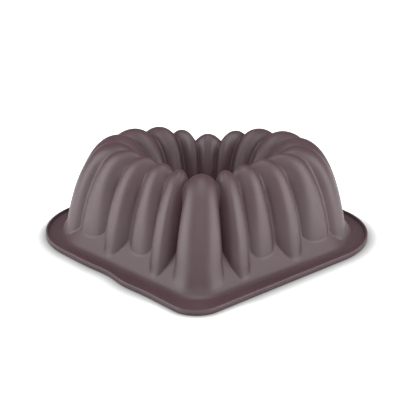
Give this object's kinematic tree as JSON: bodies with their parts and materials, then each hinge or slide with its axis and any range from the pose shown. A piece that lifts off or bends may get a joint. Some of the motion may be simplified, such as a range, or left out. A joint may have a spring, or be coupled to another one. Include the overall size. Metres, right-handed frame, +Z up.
{
  "type": "heart-shaped cake mould",
  "caption": "Fluted heart-shaped ring cake mould of flexible silicone with a closed centre tube, standing upside down on its flanged rim.",
  "frame": {"origin": "centre of the rim's bounding box, on the plane that the rim rests on", "axes": "+Z up from the rim to the crown, -Y towards the heart's tip, +Y towards its cleft, X across the two lobes"},
  "size_m": [0.25, 0.218, 0.0778],
  "materials": {
    "silicone": "satin, mauve-brown moulded silicone"
  },
  "bodies": {
    "root": {"rim_lip": "silicone", "rim_flange": "silicone", "base_band": "silicone", "outer_wall": "silicone", "crown": "silicone", "inner_crown": "silicone", "centre_tube": "silicone", "tube_cap": "silicone"}
  },
  "joints": []
}
